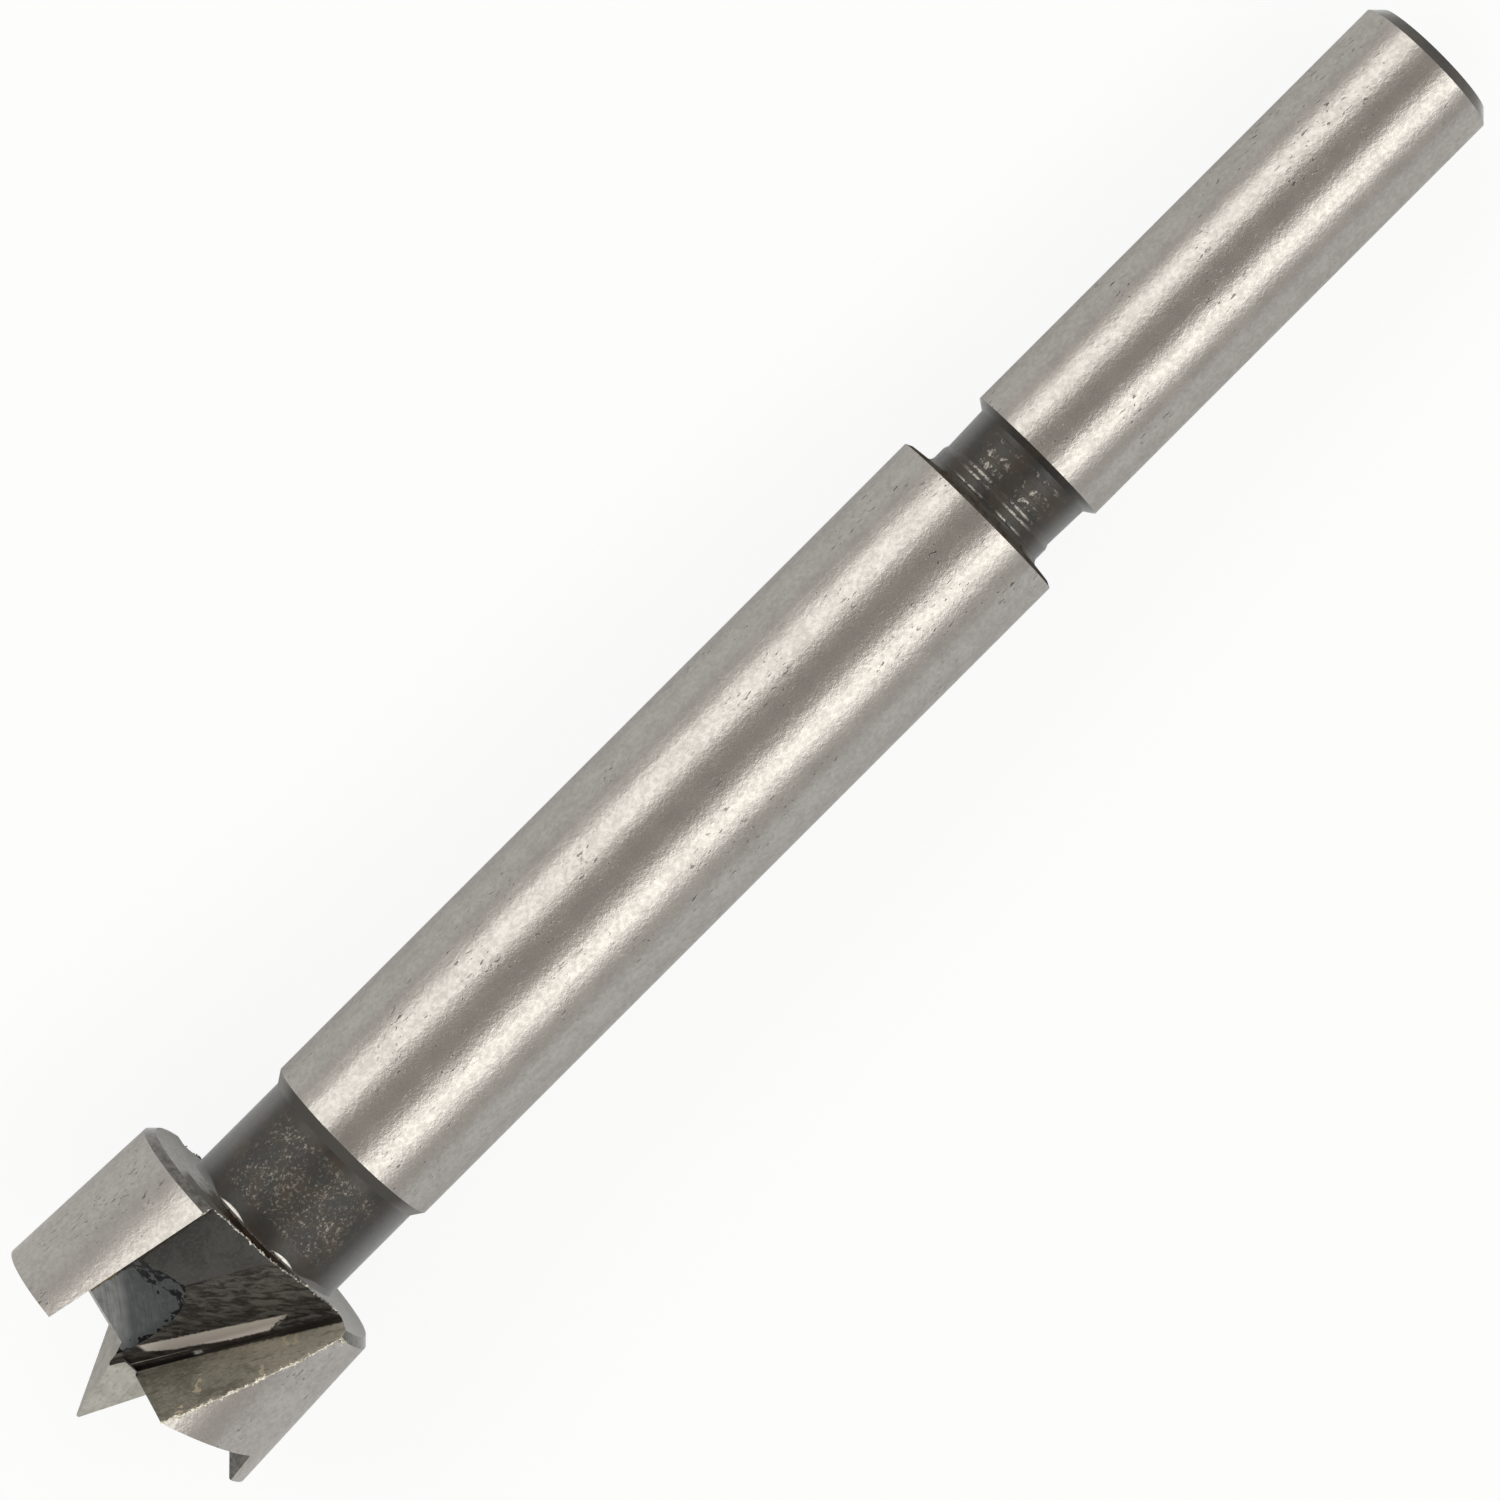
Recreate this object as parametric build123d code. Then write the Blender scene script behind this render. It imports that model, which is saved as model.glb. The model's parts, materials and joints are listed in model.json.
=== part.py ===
from build123d import *
import math
import os

os.makedirs("parts", exist_ok=True)

# A one-piece cylinder-head drill bit for wood, in millimetres and degrees.
# It is worked out along X, with the tip of the centre point at x = 0 and the shank towards +X.
# The first cutting edge points along +Z, with its wing on the -Y side and its gullet on the +Y side.
# The second wing is the first one turned half round the axis.
# At the end the bit is laid down as it comes to rest on a bench, with +Z up.

# Turned blank, from the rim of the head to the end of the shank
overall_length = 94.0
cutting_diameter = 16.0
rim_taper = 2.4
rim_length = 8.84
rear_chamfer = 0.4
rear_face_slope = 4.5
neck_diameter = 9.2
neck_fillet = 0.2
neck_length = 5.60
body_diameter = 10.0
body_cone_length = 0.6
body_length = 43.3
body_chamfer = 0.3
shoulder_fillet = 0.3
collar_diameter = 7.04
collar_length = 0.9
groove_diameter = 6.84
groove_step_length = 0.25
groove_length = 2.35
groove_end_diameter = 6.98
shank_diameter = 8.0
shank_cone_length = 0.36
shank_chamfer = 0.55

# Centre point, a four-sided pyramid with its flats square to the cutting edges
point_lead = 3.62
point_flat = 0.12
point_half_angle = 20.4
point_root = 0.9
point_boss_diameter = 3.4

# Cutting edges, rake faces and flanks
edge_fall = 1.7
rake_angle = 26.0
relief_angle = 13.4
heel_relief = 6.8
heel_land = 1.7
heel_turn = 59.0

# Scoring spurs, which stand ahead of the cutting edges along the rim
spur_lead = 0.3
spur_land = 0.12
spur_bevel = 45.0
spur_start = 46.7
spur_lean = 10.5

# Gullets, milled straight through the head
web_half = 0.68
valley_rise = 15.0
valley_radius = 0.5
floor_slope = 24.2
floor_width = 5.5
ledge_slope = 11.0
trailing_front = 55.3
trailing_rear = 42.3
wall_turn = 22.7

# Gash beside the centre point, ground with the rim of a small wheel
wheel_radius = 6.0
wheel_back = 3.0
wheel_side = 4.59
wheel_height = 6.51
wheel_swing = 59.2
wheel_pitch = 37.3
gash_reach = 0.3

# Cutters start this far outside the steel that they take away
clear = 0.4

rim_radius = cutting_diameter / 2
shank_radius = shank_diameter / 2
crown_x = point_lead + rim_radius * math.tan(math.radians(edge_fall)) - spur_lead
rim_end_x = crown_x + rim_length
shank_end_x = overall_length - shank_chamfer
far = cutting_diameter + rim_length + point_lead


def sin(angle):
    return math.sin(math.radians(angle))


def cos(angle):
    return math.cos(math.radians(angle))


def tan(angle):
    return math.tan(math.radians(angle))


def rim_radius_at(x):
    return rim_radius - (x - crown_x) * tan(rim_taper)


def at_angle(x, radius, angle):
    """A point at an angle from +Z, counted right-handed round +X."""
    return Vector(x, -radius * sin(angle), radius * cos(angle))


def beyond(origin, normal):
    """A large block that fills the side of a plane that the normal points to."""
    block = Box(4 * far, 4 * far, 2 * far, align=(Align.CENTER, Align.CENTER, Align.MIN))
    return Plane(origin=origin, z_dir=normal) * block


def turned_blank():
    """The lathe work: head, neck, body, groove and shank in one profile."""
    chamfer_x = rim_end_x + rear_chamfer
    rear_radius = rim_radius_at(rim_end_x) - rear_chamfer
    neck_radius = neck_diameter / 2
    neck_x = chamfer_x + (rear_radius - neck_radius) * tan(rear_face_slope)
    cone_x = neck_x + neck_length
    body_x = cone_x + body_cone_length
    body_end_x = body_x + body_length
    collar_x = body_end_x + body_chamfer
    step_x = collar_x + collar_length
    groove_x = step_x + groove_step_length
    groove_end_x = groove_x + groove_length
    outline = Polyline(
        (crown_x, 0),
        (crown_x, rim_radius),
        (rim_end_x, rim_radius_at(rim_end_x)),
        (chamfer_x, rear_radius),
        (neck_x, neck_radius),
        (cone_x, neck_radius),
        (body_x, body_diameter / 2),
        (body_end_x, body_diameter / 2),
        (body_end_x + body_chamfer / 2, body_diameter / 2 - body_chamfer),
        (collar_x, collar_diameter / 2),
        (step_x, collar_diameter / 2),
        (groove_x, groove_diameter / 2),
        (groove_end_x, groove_end_diameter / 2),
        (groove_end_x + shank_cone_length, shank_radius),
        (shank_end_x, shank_radius),
        (overall_length, shank_radius - shank_chamfer),
        (overall_length, 0),
        close=True,
    )
    profile = make_face(outline)
    neck_corner = profile.vertices().sort_by_distance((neck_x, neck_radius))[0]
    profile = fillet(neck_corner, neck_fillet)
    collar_corner = profile.vertices().sort_by_distance((collar_x, collar_diameter / 2))[0]
    profile = fillet(collar_corner, shoulder_fillet)
    return revolve(profile, Axis.X)


def front_recess():
    """What is ground away ahead of one flank, inside the bevel of its spur."""
    edge = Vector(sin(edge_fall), 0, cos(edge_fall))
    back = Vector(sin(relief_angle), -cos(relief_angle), 0)
    ahead = back.cross(edge).normalized()
    flank = beyond((point_lead, 0, 0), ahead) & beyond((0, clear, 0), (0, -1, 0))
    inward = back * cos(heel_turn) - edge * sin(heel_turn)
    land_end = Vector(point_lead, 0, 0) + edge * heel_land
    heel = beyond(land_end, ahead * cos(heel_relief) + inward * sin(heel_relief))
    heel = heel & beyond((0, 0, 0), (0, -1, 0))
    blade_radius = rim_radius - spur_land
    bevel_depth = blade_radius / tan(spur_bevel)
    ring_section = Polyline(
        (crown_x, blade_radius),
        (crown_x, far),
        (crown_x + bevel_depth, far),
        (crown_x + bevel_depth, 0),
        close=True,
    )
    ring = revolve(make_face(ring_section), Axis.X)
    lead_face = at_angle(0, cos(spur_lean), spur_start + 90) + Vector(sin(spur_lean), 0, 0)
    spur = ring & beyond((crown_x, 0, 0), lead_face)
    return flank + heel - spur


def centre_point():
    """The pyramid, with its root sunk into the web between the gullets."""
    root_x = point_lead + point_root
    root_width = point_flat + 2 * root_x * tan(point_half_angle)
    tip = Plane.YZ * Rectangle(point_flat, point_flat)
    root = Plane.YZ.offset(root_x) * Rectangle(root_width, root_width)
    return loft([tip, root])


def gullet():
    """The straight V cut: rake face, rounded valley, sloping floor and ledge."""
    run = tan(rake_angle)
    along = Vector(1, -run, tan(valley_rise) * math.sqrt(1 + run * run))
    corner = Vector(point_lead, 0, web_half) - along * (point_lead - crown_x + clear)
    top = corner + Vector(0, far * run * tan(edge_fall), far)
    crease = corner + Vector(0, floor_width, floor_width * tan(floor_slope))
    ledge = crease + Vector(0, far, -far * tan(ledge_slope))
    outer = Vector(corner.X, ledge.Y, top.Z)
    section = make_face(Polyline(corner, top, outer, ledge, crease, close=True))
    valley = section.vertices().sort_by_distance(corner)[0]
    return extrude(fillet(valley, valley_radius), amount=far, dir=along)


def gash():
    """The hollow that the grinding wheel leaves ahead of the gullet floor."""
    level = Vector(cos(wheel_swing), -sin(wheel_swing), 0)
    spindle = level * cos(wheel_pitch) + Vector(0, 0, sin(wheel_pitch))
    centre = Vector(wheel_back, wheel_side, wheel_height)
    wheel = Plane(origin=centre, z_dir=spindle) * Cylinder(wheel_radius, 2 * far)
    side = at_angle(0, 1, 90 - wall_turn)
    return wheel & beyond(side * gash_reach, side * -1)


def trailing_side():
    """The gullet side of the steep wall under the trailing edge of the other wing."""
    front = at_angle(crown_x, rim_radius, -trailing_front)
    rear = at_angle(rim_end_x, rim_radius_at(rim_end_x), -trailing_rear)
    depth = at_angle(0, 1, -wall_turn)
    return beyond(front, (rear - front).cross(depth))


def resting_plane():
    """The bench under the bit: two rim corners of one gullet and the end of the shank touch it."""
    toe = at_angle(point_lead + rim_radius * tan(edge_fall), rim_radius, 180)
    heel = at_angle(rim_end_x, rim_radius_at(rim_end_x), 180 - trailing_rear)
    down = (toe + heel) * 0.5
    for _ in range(6):
        down = Vector(0, down.Y, down.Z).normalized()
        end = Vector(shank_end_x, 0, 0) + down * shank_radius
        down = (heel - toe).cross(end - toe)
        down = down if down.dot(toe) > 0 else down * -1
    return Plane(origin=end, x_dir=end - (toe + heel) * 0.5, z_dir=down * -1)


bit = turned_blank()
recess = front_recess()
bit = bit - recess - Rotation(180, 0, 0) * recess
bit = bit + centre_point()
boss = Rotation(0, 90, 0) * Cylinder(point_boss_diameter / 2, 2 * (point_lead + clear / 2))
pocket = ((gullet() + gash()) & trailing_side()) - boss
bit = bit - pocket - Rotation(180, 0, 0) * pocket

bench = resting_plane()
bit = bench.to_local_coords(bit)
box = bit.bounding_box()
bit = Pos(-box.center().X, -box.center().Y, -box.min.Z) * bit

export_step(bit, "parts/forstner_bit.step")
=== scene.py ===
# %% [markdown]
# # A forstner bit, from packed steel to finished picture
# A forstner bit bores flat-bottomed holes in wood. This one is a single piece of steel: a centre point,
# two cutting edges with scoring spurs, a cylinder head with two gullets, a neck, a body and a round shank.
# The solid model is loaded as a fixed frame, so every place in this lesson comes from it.

# %% Load the solid
import bmesh
import bpy
import json
import math
from mathutils import Matrix, Vector


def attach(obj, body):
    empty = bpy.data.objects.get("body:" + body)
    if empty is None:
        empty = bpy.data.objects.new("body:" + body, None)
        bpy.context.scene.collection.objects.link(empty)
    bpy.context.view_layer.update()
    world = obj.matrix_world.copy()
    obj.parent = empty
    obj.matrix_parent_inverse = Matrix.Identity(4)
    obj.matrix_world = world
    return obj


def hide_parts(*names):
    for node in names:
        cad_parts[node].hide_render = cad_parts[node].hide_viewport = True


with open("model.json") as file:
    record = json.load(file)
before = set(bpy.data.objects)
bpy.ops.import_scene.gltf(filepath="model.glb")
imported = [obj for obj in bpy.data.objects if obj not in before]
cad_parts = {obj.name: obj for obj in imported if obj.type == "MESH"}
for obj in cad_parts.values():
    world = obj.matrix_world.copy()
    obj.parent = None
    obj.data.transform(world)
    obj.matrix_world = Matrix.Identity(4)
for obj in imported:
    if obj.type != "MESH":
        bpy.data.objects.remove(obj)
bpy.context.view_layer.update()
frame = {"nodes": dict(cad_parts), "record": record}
solid = frame["nodes"]["forstner_bit"]
print("loaded", solid.name, "with", len(solid.data.polygons), "faces")

# %% [markdown]
# ## Where things are on the tool
# The bit lies on the bench with its shank end lower than its head, so the bench's axes are no help on it.
# The record states the shank as a round pin with a point and a direction: that line is the tool's own axis.
# From it come three directions: along the tool, across it, and up from it towards the viewer.
# The photograph looks down at the bit a little from one side, so up is rolled by a small angle.
# Distances along are in millimetres from the tip of the centre point.

# %% The tool's own axes
MM = 0.001
FACE_ROLL = 1.384

shank = next(m for m in frame["record"]["mounts"] if m["name"] == "shank")
ALONG = Vector(shank["axis"]).normalized()
SHANK_POINT = Vector(shank["pos_m"])
TIP = SHANK_POINT + ALONG * min((v.co - SHANK_POINT).dot(ALONG) for v in solid.data.vertices)
level_up = (Vector((0, 0, 1)) - ALONG * ALONG.z).normalized()
UP = Matrix.Rotation(math.radians(-FACE_ROLL), 3, ALONG) @ level_up
ACROSS = ALONG.cross(UP)
TO_TOOL = Matrix((ALONG, ACROSS, UP))


def on_tool(point):
    """Along, across and up in millimetres for a point in metres."""
    return TO_TOOL @ ((point - TIP) / MM)


def in_room(along, across, up):
    """The point in metres for a place on the tool in millimetres."""
    return TIP + (ALONG * along + ACROSS * across + UP * up) * MM


print("tip at", [round(c, 5) for c in TIP], "along", [round(c, 4) for c in ALONG])

# %% [markdown]
# ## The camera
# The picture shows the bit from above, lying across the frame from the lower left to the upper right.
# So the camera looks down on it and is turned by 45 degrees, a little tilted towards the shank.
# It stands about 300 mm away, which gives the mild perspective of a close product picture.

# %% Camera
VIEW_TILT = 1.0
CAMERA_HEIGHT = 301.47
LOOK_ALONG = 46.53
LOOK_ACROSS = 0.229
LENS = 147.6


def add_object(name, data):
    """Put a mesh, a lamp or a camera into the scene."""
    made = bpy.data.objects.new(name, data)
    bpy.context.scene.collection.objects.link(made)
    return made


tilt = math.radians(VIEW_TILT)
back = ALONG * math.sin(tilt) + UP * math.cos(tilt)
level_along = ALONG * math.cos(tilt) - UP * math.sin(tilt)
picture_right = (level_along + ACROSS).normalized()
picture_up = (level_along - ACROSS).normalized()

camera_data = bpy.data.cameras.new("camera")
camera_data.lens = LENS
camera_data.sensor_width = 36.0
camera_data.clip_start = 0.01
camera = add_object("camera", camera_data)
stand = Matrix((picture_right, picture_up, back)).transposed().to_4x4()
stand.translation = in_room(LOOK_ALONG, LOOK_ACROSS, 0) + back * CAMERA_HEIGHT * MM
camera.matrix_world = stand
bpy.context.scene.camera = camera
print("camera at", [round(c, 4) for c in stand.translation])

# %% [markdown]
# ## A shell to dress
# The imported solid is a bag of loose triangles. Merging their corners gives one closed skin, and dissolving
# the lines inside flat faces leaves the outlines that a machinist would name: rake, flank, valley, wall.

# %% Merge the solid into one closed skin
MERGE_GAP = 1e-6
FLAT_ANGLE = math.radians(0.6)

skin = bmesh.new()
skin.from_mesh(solid.data)
bmesh.ops.remove_doubles(skin, verts=skin.verts, dist=MERGE_GAP)
bmesh.ops.dissolve_degenerate(skin, edges=skin.edges, dist=MERGE_GAP)
bmesh.ops.dissolve_limit(skin, angle_limit=FLAT_ANGLE, verts=skin.verts, edges=skin.edges)
print("faces", len(skin.faces), "open edges", sum(len(e.link_faces) != 2 for e in skin.edges))

# %% [markdown]
# ## Which tool made which face
# Each face of the real bit has the finish of the last tool that touched it. The round surfaces were ground
# bright, the neck and the groove kept their black oxide, and the gullets were milled before blackening.
# After that a small wheel cut the gash beside the centre point, and the point itself was ground last.
# The two wings are the same turned half round, so a face is also tried half a turn on.
# The places are in millimetres, and the limits on a direction are cosines of how far it may turn.

# %% Name the finish of every face
FINISHES = ["ground", "oxide", "rake", "gullet", "ledge", "gash", "point", "flank", "spur", "wall", "rear"]
WHEEL_CENTRE = Vector((3.0, -1.72, 7.78))
WHEEL_SPINDLE = Vector((0.407, 0.864, 0.295))
WHEEL_RADIUS = 6.0
WHEEL_FIT = 0.06
LEDGE_NORMAL = Vector((-0.2, 0.2, 0.96))
LEDGE_DEPTH = 3.0
FRONT_END = 5.0
POINT_RADIUS = 2.3
BEVEL_RADIUS = 6.0
SPUR_RADIUS = 6.5
RIM_RADIUS = 7.3
HEAD_BACK = 12.45
NECK_START = 13.1
NECK_END = 19.2
CONE_LENGTH = 0.6
BODY_END = 62.25
SHOULDER_DEPTH = 0.7
COLLAR_RADIUS = 3.54
GROOVE_END = 66.75
SHANK_CHAMFER_START = 93.5


def half_turned(vector):
    return Vector((vector.x, -vector.y, -vector.z))


def wheel_gap(place):
    """How far a place is from the surface that the gash wheel swept."""
    arm = place - WHEEL_CENTRE
    return abs((arm - WHEEL_SPINDLE * arm.dot(WHEEL_SPINDLE)).length - WHEEL_RADIUS)


def finish_of(face):
    """Name the finish of a face from where it is and where it looks."""
    place = on_tool(face.calc_center_median())
    normal = TO_TOOL @ face.normal
    radius = math.hypot(place.y, place.z)
    outward = (normal.y * place.y + normal.z * place.z) / max(radius, 0.01)
    sideways = (normal.z * place.y - normal.y * place.z) / max(radius, 0.01)
    on_back = HEAD_BACK + 0.3 < place.x < NECK_START and normal.x > 0.85
    on_cone = NECK_END - CONE_LENGTH < place.x < NECK_END + 0.05 and normal.x < -0.3
    by_shoulder = BODY_END < place.x < BODY_END + SHOULDER_DEPTH and radius > COLLAR_RADIUS
    if on_back or on_cone or by_shoulder and normal.x > 0.4:
        return "rear"
    if place.x > HEAD_BACK and abs(sideways) < 0.15 or normal.x > 0.9:
        bright = NECK_END < place.x < BODY_END or GROOVE_END < place.x < SHANK_CHAMFER_START
        return "ground" if bright else "oxide"
    if radius > RIM_RADIUS and outward > 0.9:
        return "ground"
    corners = [on_tool(v.co) for v in face.verts]
    swept = max(min(wheel_gap(c), wheel_gap(half_turned(c))) for c in corners) < WHEEL_FIT
    if swept and abs(normal.x) < 0.9:
        return "gash"
    if radius > BEVEL_RADIUS and normal.x < -0.5 and outward < -0.4:
        return "spur"
    if radius > SPUR_RADIUS and place.x < FRONT_END and normal.x > -0.7:
        return "spur"
    in_front = place.x < FRONT_END and radius < POINT_RADIUS
    if in_front and -0.6 < normal.x < -0.1 and abs(normal.dot(place)) < 0.15:
        return "point"
    if normal.x < -0.75:
        return "flank"
    if normal.x > 0.3:
        return "rake"
    if abs(normal.y) > 0.95:
        return "wall"
    near = half_turned(place) if place.z < 0 else place
    return "ledge" if abs(normal.z) > 0.9 and near.dot(LEDGE_NORMAL) > LEDGE_DEPTH else "gullet"


tally = dict.fromkeys(FINISHES, 0.0)
for face in skin.faces:
    name = finish_of(face)
    face.material_index = FINISHES.index(name)
    tally[name] += face.calc_area() / MM ** 2
print("mm2 of each finish", {name: round(area, 1) for name, area in tally.items()})

# %% [markdown]
# ## Round where it was turned
# The solid's round surfaces come as flat strips. Cutting them by planes through the axis and pushing the
# new corners out to the true radius makes the outline round from every side. Nothing else changes.

# %% Round the strips
ROUND_CUTS = 60
CUT_SNAP = 2e-6
SHORTEST_RUN = 0.02
STEEPEST_SLOPE = 6
STRAIGHT_WITHIN = 0.004
LEAST_PUSH = 0.001
MOST_PUSH = 0.06


def turned_line(face):
    """Radius as a straight line of the distance along, for a strip of a cone or cylinder, else None."""
    places = [on_tool(v.co) for v in face.verts]
    radii = [math.hypot(p.y, p.z) for p in places]
    low = min(range(len(places)), key=lambda i: places[i].x)
    high = max(range(len(places)), key=lambda i: places[i].x)
    run = places[high].x - places[low].x
    slope = (radii[high] - radii[low]) / run if run > SHORTEST_RUN else 0.0
    if run <= SHORTEST_RUN or abs(slope) > STEEPEST_SLOPE:
        return None
    worst = max(abs(radii[low] + (p.x - places[low].x) * slope - r) for p, r in zip(places, radii))
    return (places[low].x, radii[low], slope) if worst < STRAIGHT_WITHIN else None


lines = [None]
strip_of = skin.faces.layers.int.new("strip")
for face in skin.faces:
    line = turned_line(face) if FINISHES[face.material_index] in ("ground", "oxide", "rear") else None
    if line:
        lines.append(line)
        face[strip_of] = len(lines) - 1
print("round strips", len(lines) - 1)
for cut in range(ROUND_CUTS):
    angle = math.pi * cut / ROUND_CUTS
    plane = ACROSS * math.cos(angle) + UP * math.sin(angle)
    strips = [f for f in skin.faces if f[strip_of]]
    pieces = list({v for f in strips for v in f.verts}) + list({e for f in strips for e in f.edges})
    bmesh.ops.bisect_plane(skin, geom=pieces + strips, plane_co=TIP, plane_no=plane, dist=CUT_SNAP)
pushed = {}
for face in skin.faces:
    if not face[strip_of]:
        continue
    start, first_radius, slope = lines[face[strip_of]]
    for corner in face.verts:
        place = on_tool(corner.co)
        true_radius = first_radius + (place.x - start) * slope
        now = math.hypot(place.y, place.z)
        if now > 0.5 and LEAST_PUSH < true_radius - now < MOST_PUSH:
            pushed[corner] = in_room(place.x, place.y * true_radius / now, place.z * true_radius / now)
for corner, place in pushed.items():
    corner.co = place
print("corners pushed out", len(pushed), "faces now", len(skin.faces))

# %% [markdown]
# ## Smooth shading
# Light shows a turned surface as one smooth skin, but a ground edge stays crisp. So every face is shaded
# smooth, and an edge is marked sharp where the two faces beside it turn by more than a set angle.

# %% Smooth shading, broken at real edges
SHARP_ANGLE = math.radians(20)

bmesh.ops.recalc_face_normals(skin, faces=skin.faces)
for face in skin.faces:
    face.smooth = True
for edge in skin.edges:
    edge.smooth = edge.calc_face_angle(0) < SHARP_ANGLE
closed = all(len(e.link_faces) == 2 for e in skin.edges)
print("closed", closed, "mm3", round(skin.calc_volume() / MM ** 3, 1))
shell = bpy.data.meshes.new("forstner_steel")
skin.to_mesh(shell)
bit = add_object("forstner_steel", shell)

# %% [markdown]
# ## Helpers for materials
# A material is a small network. These helpers add one box or a short chain to it, with the inputs given by
# name, so that each recipe below reads as a list of what it does.
# A mask is a number from 0 to 1 that says where something is. Where two masks overlap, they are multiplied.

# %% Helpers for numbers
def box(kind, inputs=None, tree=None, **settings):
    """Add one node. An input is a number, a colour or the output that feeds it, which knows its network."""
    inputs = inputs or {}
    if tree is None:
        tree = next(v.id_data for v in inputs.values() if isinstance(v, bpy.types.NodeSocket))
    made = tree.nodes.new(kind)
    for name, value in settings.items():
        setattr(made, name, value)
    for name, value in inputs.items():
        if isinstance(value, bpy.types.NodeSocket):
            tree.links.new(value, made.inputs[name])
        else:
            made.inputs[name].default_value = value
    return made


def calc(operation, first, second=0.0):
    return box("ShaderNodeMath", {0: first, 1: second}, operation=operation).outputs[0]


def chain(operation, values):
    """Work through the values from left to right."""
    total = values[0]
    for value in values[1:]:
        total = calc(operation, total, value)
    return total


def add_up(*values):
    return chain("ADD", values)


def times(*values):
    return chain("MULTIPLY", values)


def highest(*values):
    return chain("MAXIMUM", values)


def minus(first, second):
    return calc("SUBTRACT", first, second)


def off(value, middle=0.0):
    """How far a value is from a middle one, on either side."""
    return calc("ABSOLUTE", minus(value, middle))


def length(first, second):
    """How long a slanting line is that runs this far one way and that far the other."""
    return calc("SQRT", add_up(times(first, first), times(second, second)))


def fade(value, start, end, low=0.0, high=1.0):
    """Go softly from low to high as the value goes from start to end."""
    inputs = {"Value": value, "From Min": start, "From Max": end, "To Min": low, "To Max": high}
    return box("ShaderNodeMapRange", inputs, interpolation_type="SMOOTHSTEP").outputs[0]


def fade_out(value, start, end):
    return fade(value, start, end, 1.0, 0.0)


# %% [markdown]
# ## Colours, textures and places
# A colour that wanders between two is kept as a pair, and a noise picks the place between them.
# Noise is read at a place in millimetres. Stretching or turning the place first draws the noise out, as a
# wheel or a cutter would.

# %% Helpers for colours, textures and places
def blend(share, first, second):
    """Mix two colours."""
    inputs = {0: share}
    for index, colour in ((6, first), (7, second)):
        inputs[index] = colour if isinstance(colour, bpy.types.NodeSocket) else (*colour, 1)
    return box("ShaderNodeMix", inputs, data_type="RGBA").outputs[2]


def noise(vector, scale, detail=3.0, roughness=0.5, distortion=0.0):
    inputs = {"Vector": vector, "Scale": scale, "Detail": detail, "Roughness": roughness,
              "Distortion": distortion}
    return box("ShaderNodeTexNoise", inputs).outputs["Fac"]


def vector_box(operation, first, second):
    return box("ShaderNodeVectorMath", {0: first, 1: second}, operation=operation).outputs


def stretch(place, factors):
    return vector_box("MULTIPLY", place, factors)[0]


def measure(place, direction):
    """How far a place lies along a direction."""
    return vector_box("DOT_PRODUCT", place, tuple(direction))["Value"]


def swing(place, degrees):
    """Turn places round the tool's up direction."""
    inputs = {"Vector": place, "Angle": math.radians(degrees)}
    return box("ShaderNodeVectorRotate", inputs, rotation_type="Z_AXIS").outputs[0]


def split(place):
    """A place as its numbers X, Y and Z."""
    return box("ShaderNodeSeparateXYZ", {0: place}).outputs


def joined(x, y, z=0.0):
    return box("ShaderNodeCombineXYZ", {"X": x, "Y": y, "Z": z}).outputs[0]


# %% [markdown]
# ## Groups
# What more than one material uses is built once, as a group with named sockets.

# %% Helpers for groups
def group(name, inputs, outputs):
    """A new shader group with number, colour or vector sockets: the tree, what comes in and what leaves."""
    tree = bpy.data.node_groups.new(name, "ShaderNodeTree")
    kinds = {"number": "NodeSocketFloat", "colour": "NodeSocketColor", "vector": "NodeSocketVector"}
    for side, labels in (("INPUT", inputs), ("OUTPUT", outputs)):
        for label, kind in labels.items():
            tree.interface.new_socket(label, in_out=side, socket_type=kinds[kind])
    return tree, tree.nodes.new("NodeGroupInput").outputs, tree.nodes.new("NodeGroupOutput").inputs


def hand_out(leaving, results):
    """Give the group's results their way out."""
    tree = leaving[0].id_data
    for label, value in results.items():
        tree.links.new(value, leaving[label])
    print("group", tree.name, "with", len(tree.nodes), "nodes")


def use(made_group, inputs=None, tree=None):
    return box("ShaderNodeGroup", inputs, tree, node_tree=made_group).outputs


# %% [markdown]
# ## Tool places for every material
# Every mark on a turned tool follows its axis: rings run round it and scratches run along it.
# This group turns a point's place into millimetres along, across and up, with the distance from the axis.
# It also gives the round skin laid flat, so that a texture can follow it with no seam on the visible side.

# %% Group: place on the tool
place_group, given, leaving = group("place_on_tool", {}, {
    "Place": "vector", "Along": "number", "Across": "number", "Up": "number", "Radius": "number",
    "Skin": "vector"})
spot = box("ShaderNodeTexCoord", tree=place_group).outputs["Object"]
arm = vector_box("SUBTRACT", spot, tuple(TIP))[0]
along, across, up = [measure(arm, direction / MM) for direction in (ALONG, ACROSS, UP)]
radius = length(across, up)
flat_turn = times(calc("ARCTAN2", across, up), radius)
hand_out(leaving, {
    "Place": joined(along, across, up), "Along": along, "Across": across, "Up": up,
    "Radius": radius, "Skin": joined(along, flat_turn, radius)})

# %% [markdown]
# ## One wing for two
# The second wing is the first turned half round, so across and up change sign together on it.
# This group turns every place over to the near side, and a mark described once then lies on both wings.

# %% Group: the near side
near_group, given, leaving = group("near_side", {"Place": "vector"}, {"Near side": "vector"})
sign = calc("SIGN", split(given["Place"])["Z"])
hand_out(leaving, {"Near side": stretch(given["Place"], joined(1.0, sign, sign))})

# %% [markdown]
# ## Pits
# Even ground steel keeps a few pits from rolling and handling. They are short, dark, drawn out along the
# bar and come in clusters. A noise stretched along the bar gives the strokes, and a slow noise says where
# they are.

# %% Group: pits
PIT_STRETCH = (1.9, 6.0, 1.0)
PIT_SOFTNESS = 0.035

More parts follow.
